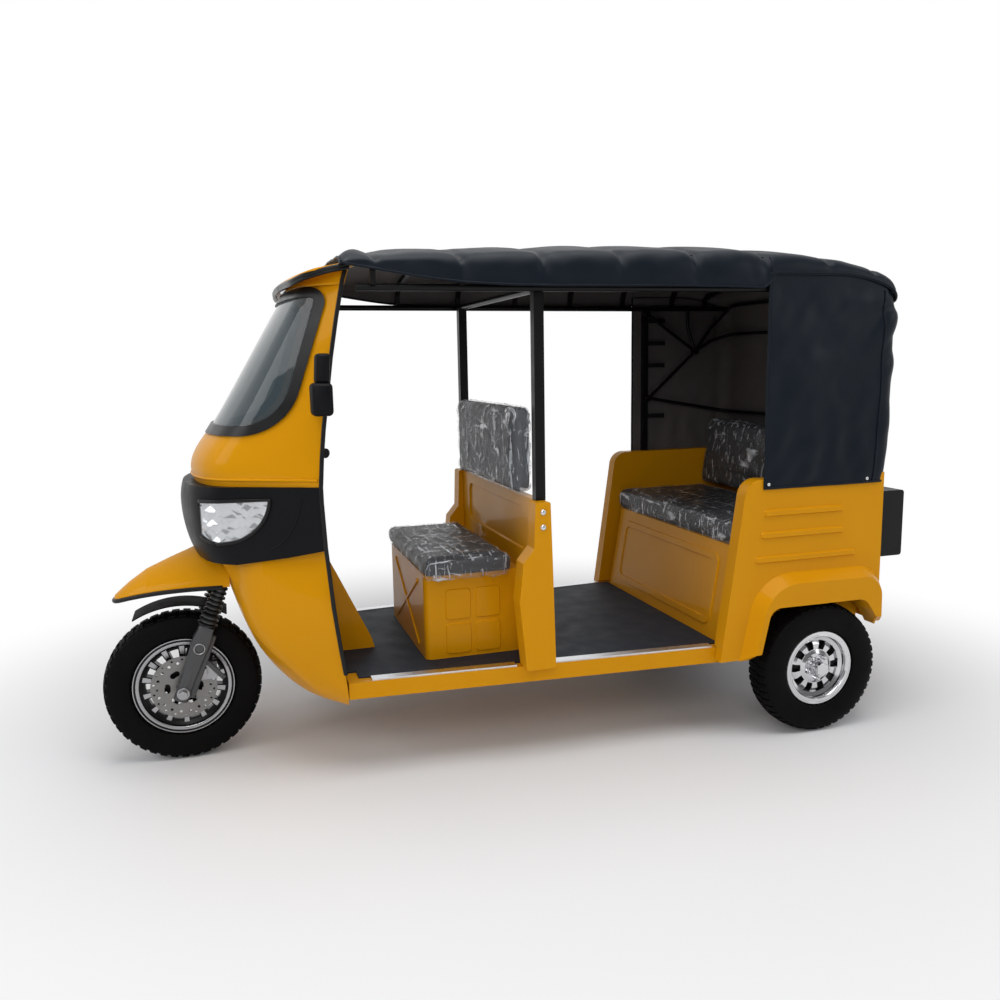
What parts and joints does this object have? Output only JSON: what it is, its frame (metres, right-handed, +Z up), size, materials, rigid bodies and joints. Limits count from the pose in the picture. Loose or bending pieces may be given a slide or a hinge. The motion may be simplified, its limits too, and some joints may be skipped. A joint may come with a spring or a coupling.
{
  "type": "auto rickshaw",
  "caption": "Passenger auto rickshaw with open sides, bench seat, driver's seat, steered front fork wheel and dark vinyl canopy.",
  "frame": {"origin": "on the ground under the middle of the vehicle", "axes": "+X forward, +Y left, +Z up"},
  "size_m": [2.999, 1.22, 1.7646],
  "materials": {
    "yellow_paint": "amber yellow gloss paint",
    "black_mask": "moulded black plastic",
    "frame_black": "black painted steel",
    "glass": "clear laminated glass",
    "lamp": "clear headlamp lens",
    "tail_lamp": "red lamp",
    "rubber": "black rubber",
    "mat": "dark grey rubber mat",
    "aluminium": "brushed aluminium strip",
    "fork_grey": "dark grey painted fork",
    "tyre": "tyre rubber",
    "alloy_black": "black painted alloy",
    "chrome": "chrome plated steel",
    "disc_steel": "ground steel",
    "caliper": "cast aluminium",
    "canopy": "dark blue-black vinyl",
    "seat_black": "black seat cover",
    "seat_grey": "grey seat cover",
    "box_black": "black box",
    "engine": "bare casting"
  },
  "bodies": {
    "body": {"chassis_frame": "frame_black", "floor_pan": "yellow_paint", "floor_mat": "mat", "sill_strips": "aluminium", "nose_upper": "yellow_paint", "nose_lower": "yellow_paint", "front_mask": "black_mask", "headlamps": "lamp", "windscreen_glass": "glass", "windscreen_gasket": "rubber", "visor": "yellow_paint", "dashboard": "black_mask", "steering_housing": "yellow_paint", "door_mirrors": "black_mask", "beak_mudguard": "yellow_paint", "partition": "yellow_paint", "seat_box": "yellow_paint", "driver_cushion": "seat_black", "driver_backrest": "seat_grey", "centre_posts": "frame_black", "rear_posts": "frame_black", "hood_irons": "frame_black", "roof_frame": "frame_black", "canopy_roof": "canopy", "side_curtain_left": "canopy", "side_curtain_right": "canopy", "rear_curtain": "canopy", "bench_box": "yellow_paint", "bench_cushion": "seat_black", "bench_backrest": "seat_black", "quarter_panel_left": "yellow_paint", "quarter_panel_right": "yellow_paint", "rear_panel": "yellow_paint", "tail_lamps": "tail_lamp", "rear_box": "box_black", "rear_axle": "frame_black", "leaf_springs": "frame_black", "engine_block": "engine"},
    "steering": {"fork": "fork_grey", "inner_mudguard": "black_mask", "handlebar": "frame_black", "brake_caliper": "caliper"},
    "front_wheel": {"front_rim": "alloy_black", "front_tyre": "tyre", "brake_disc": "disc_steel"},
    "rear_wheel_left": {"rear_rim_left": "chrome", "rear_tyre_left": "tyre"},
    "rear_wheel_right": {"rear_rim_right": "chrome", "rear_tyre_right": "tyre"}
  },
  "joints": [
    {"name": "steering_turn", "type": "hinge", "parent": "body", "child": "steering", "pos_m": [1.18964, 0, 0.24427], "axis": [-0.3746, 0, 0.9272], "range_deg": [-35, 35]},
    {"name": "front_wheel_spin", "type": "hinge", "parent": "steering", "child": "front_wheel", "pos_m": [1.236, 0, 0.263], "axis": [0, 1, 0], "continuous": true},
    {"name": "rear_wheel_left_spin", "type": "hinge", "parent": "body", "child": "rear_wheel_left", "pos_m": [-0.959, 0.54, 0.24], "axis": [0, 1, 0], "continuous": true},
    {"name": "rear_wheel_right_spin", "type": "hinge", "parent": "body", "child": "rear_wheel_right", "pos_m": [-0.959, -0.54, 0.24], "axis": [0, 1, 0], "continuous": true}
  ]
}
